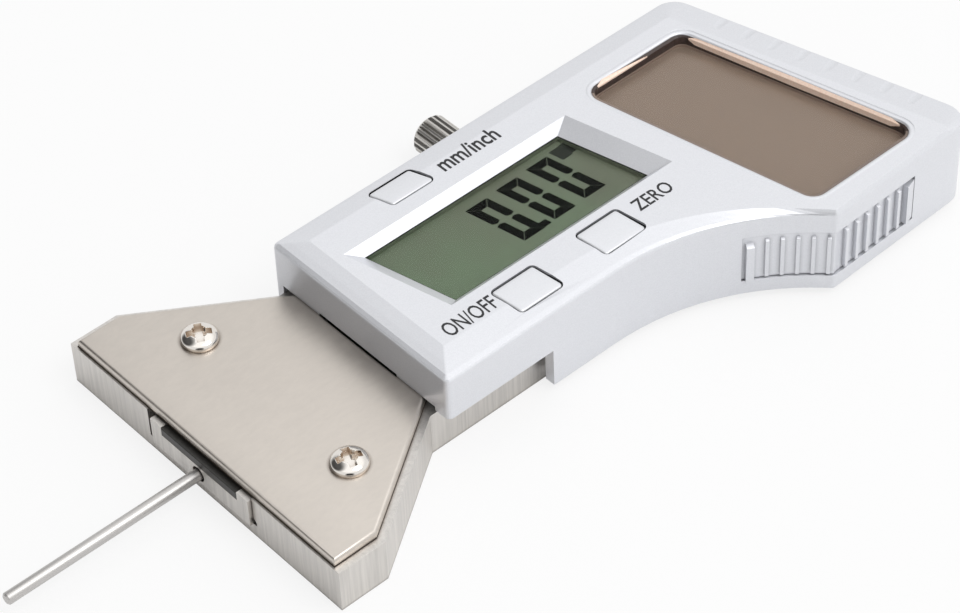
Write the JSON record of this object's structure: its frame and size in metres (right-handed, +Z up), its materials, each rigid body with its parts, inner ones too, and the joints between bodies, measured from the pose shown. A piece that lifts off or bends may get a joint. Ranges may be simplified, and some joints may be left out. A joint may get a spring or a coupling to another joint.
{
  "type": "digital depth gauge",
  "caption": "Digital depth gauge with a wide steel foot, a thin sliding depth rod and a moulded solar-powered display housing with a side lock screw.",
  "frame": {"origin": "bottom edge of the measuring face, on the centre line of the foot", "axes": "+X runs along the gauge from the measuring face to the rear, the depth rod comes out along -X, +Z is up out of the display side, +Y is the lock screw's side"},
  "size_m": [0.1168, 0.0486, 0.0126],
  "materials": {
    "frame_steel": "ground stainless steel",
    "plate_steel": "fine brushed stainless steel",
    "rod_steel": "drawn bright steel",
    "knurled_steel": "straight knurled steel",
    "bright_screw": "bright nickel plate",
    "dark_screw": "black oxide",
    "brass": "milled brass",
    "silver_paint": "silver painted plastic, satin",
    "silver_button": "silver painted plastic, satin",
    "black_scale": "black laminate",
    "dark_plastic": "fine matt texture",
    "contact_rubber": "smooth silicone rubber",
    "board": "green solder resist",
    "clear_lens": "clear polished acrylic",
    "display_glass": "grey-green reflective display",
    "solar_glass": "brown amorphous silicon behind glass"
  },
  "bodies": {
    "frame": {"base_frame": "frame_steel", "cover_plate": "plate_steel", "cover_screws": "bright_screw", "gib_strip": "brass", "gib_screws": "dark_screw", "housing": "silver_paint", "back_cover": "dark_plastic", "back_cover_screws": "bright_screw", "housing_screws": "bright_screw", "side_grip": "silver_paint", "lcd_lens": "clear_lens", "lcd_panel": "display_glass", "zebra_strips": "contact_rubber", "solar_window": "clear_lens", "solar_cell": "solar_glass", "button_domes": "bright_screw", "circuit_board": "board", "board_screws": "bright_screw", "processor": "dark_plastic", "storage_capacitor": "rod_steel"},
    "slider": {"beam": "frame_steel", "scale_strip": "black_scale", "depth_rod": "rod_steel", "thumb_pad": "dark_plastic"},
    "clamp": {"lock_pad": "brass"},
    "lock": {"lock_screw": "knurled_steel"},
    "units_key": {"units_button": "silver_button"},
    "zero_key": {"zero_button": "silver_button"},
    "power_key": {"power_button": "silver_button"}
  },
  "joints": [
    {"name": "beam_slide", "type": "slide", "parent": "frame", "child": "slider", "axis": [1, 0, 0], "range_m": [0, 0.0254]},
    {"name": "lock_shift", "type": "slide", "parent": "frame", "child": "clamp", "axis": [0, -1, 0], "range_m": [-0.00045, 0.0001875]},
    {"name": "lock_turn", "type": "hinge", "parent": "clamp", "child": "lock", "pos_m": [0.0518, 0.0153, 0.00365], "axis": [0, -1, 0], "range_deg": [-361, 151]},
    {"name": "units_press", "type": "slide", "parent": "frame", "child": "units_key", "axis": [0, 0, -1], "range_m": [0, 0.0004], "stiffness_N_per_m": 1500},
    {"name": "zero_press", "type": "slide", "parent": "frame", "child": "zero_key", "axis": [0, 0, -1], "range_m": [0, 0.0004], "stiffness_N_per_m": 1500},
    {"name": "power_press", "type": "slide", "parent": "frame", "child": "power_key", "axis": [0, 0, -1], "range_m": [0, 0.0004], "stiffness_N_per_m": 1500}
  ],
  "couplings": [
    {"joint": "lock_turn", "follows": "lock_shift", "rad_per_m": 13963}
  ]
}
